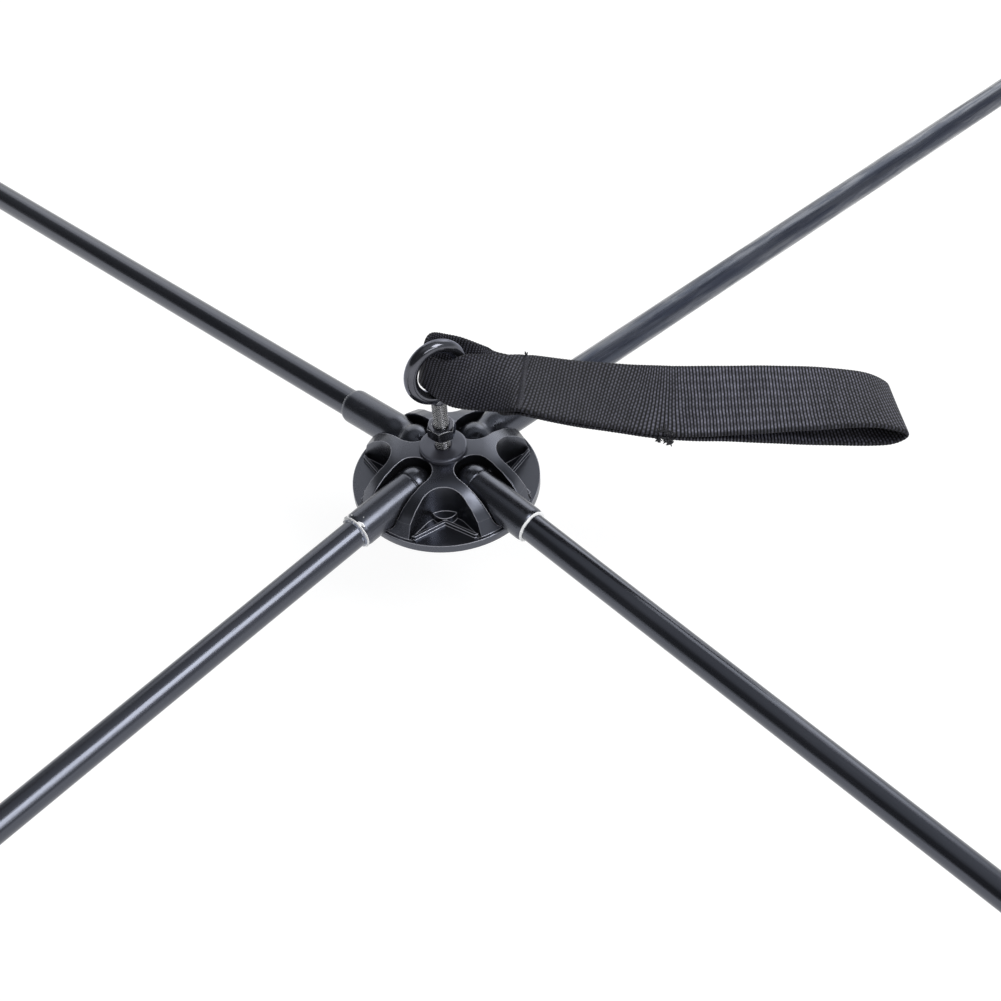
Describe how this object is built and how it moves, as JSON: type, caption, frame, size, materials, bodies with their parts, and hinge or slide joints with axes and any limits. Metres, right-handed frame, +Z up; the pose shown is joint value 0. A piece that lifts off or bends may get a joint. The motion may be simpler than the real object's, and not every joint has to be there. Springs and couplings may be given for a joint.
{
  "type": "folding pole hub",
  "caption": "Round moulded hub with folding poles on pivots, a threaded eye bolt and a webbing pull strap.",
  "frame": {"origin": "centre of the hub's flat underside", "axes": "+Z up through the eye bolt, +X towards the pull strap; poles run out along the four diagonals"},
  "size_m": [0.8841, 0.8841, 0.1303],
  "materials": {
    "hub_plastic": "moulded black, half gloss",
    "socket_black": "smooth black",
    "pole_black": "black coated fibreglass, satin",
    "black_oxide": "glossy black finish on steel",
    "washer_grey": "dark grey, satin",
    "zinc_steel": "zinc plated",
    "adhesive": "clear to white hardened adhesive",
    "webbing": "ribbed black webbing"
  },
  "bodies": {
    "hub": {"hub_body": "hub_plastic", "hub_base_plate": "hub_plastic", "base_screws": "zinc_steel", "eye_bolt": "black_oxide", "clamp_nut": "black_oxide", "clamp_washer": "washer_grey", "lower_washer": "zinc_steel", "lock_nut": "zinc_steel", "front_right_pin": "zinc_steel", "back_right_pin": "zinc_steel", "back_left_pin": "zinc_steel", "front_left_pin": "zinc_steel"},
    "front_right_arm": {"front_right_socket": "socket_black", "front_right_pole": "pole_black", "front_right_adhesive": "adhesive", "front_right_pole_cap": "hub_plastic"},
    "back_right_arm": {"back_right_socket": "socket_black", "back_right_pole": "pole_black", "back_right_adhesive": "adhesive", "back_right_pole_cap": "hub_plastic"},
    "back_left_arm": {"back_left_socket": "socket_black", "back_left_pole": "pole_black", "back_left_adhesive": "adhesive", "back_left_pole_cap": "hub_plastic"},
    "front_left_arm": {"front_left_socket": "socket_black", "front_left_pole": "pole_black", "front_left_adhesive": "adhesive", "front_left_pole_cap": "hub_plastic"},
    "strap": {"pull_strap": "webbing", "strap_stitching": "webbing"}
  },
  "joints": [
    {"name": "front_right_fold", "type": "hinge", "parent": "hub", "child": "front_right_arm", "pos_m": [0.01167, -0.01167, 0.0118], "axis": [-0.7071, -0.7071, 0], "range_deg": [0, 92]},
    {"name": "back_right_fold", "type": "hinge", "parent": "hub", "child": "back_right_arm", "pos_m": [0.01167, 0.01167, 0.0118], "axis": [0.7071, -0.7071, 0], "range_deg": [0, 92]},
    {"name": "back_left_fold", "type": "hinge", "parent": "hub", "child": "back_left_arm", "pos_m": [-0.01167, 0.01167, 0.0118], "axis": [0.7071, 0.7071, 0], "range_deg": [0, 92]},
    {"name": "front_left_fold", "type": "hinge", "parent": "hub", "child": "front_left_arm", "pos_m": [-0.01167, -0.01167, 0.0118], "axis": [-0.7071, 0.7071, 0], "range_deg": [0, 92]},
    {"name": "strap_swing", "type": "hinge", "parent": "hub", "child": "strap", "pos_m": [0, 0, 0.0594], "axis": [0.4384, -0.8988, 0], "range_deg": [0, 90], "deforming": ["pull_strap", "strap_stitching"]}
  ]
}
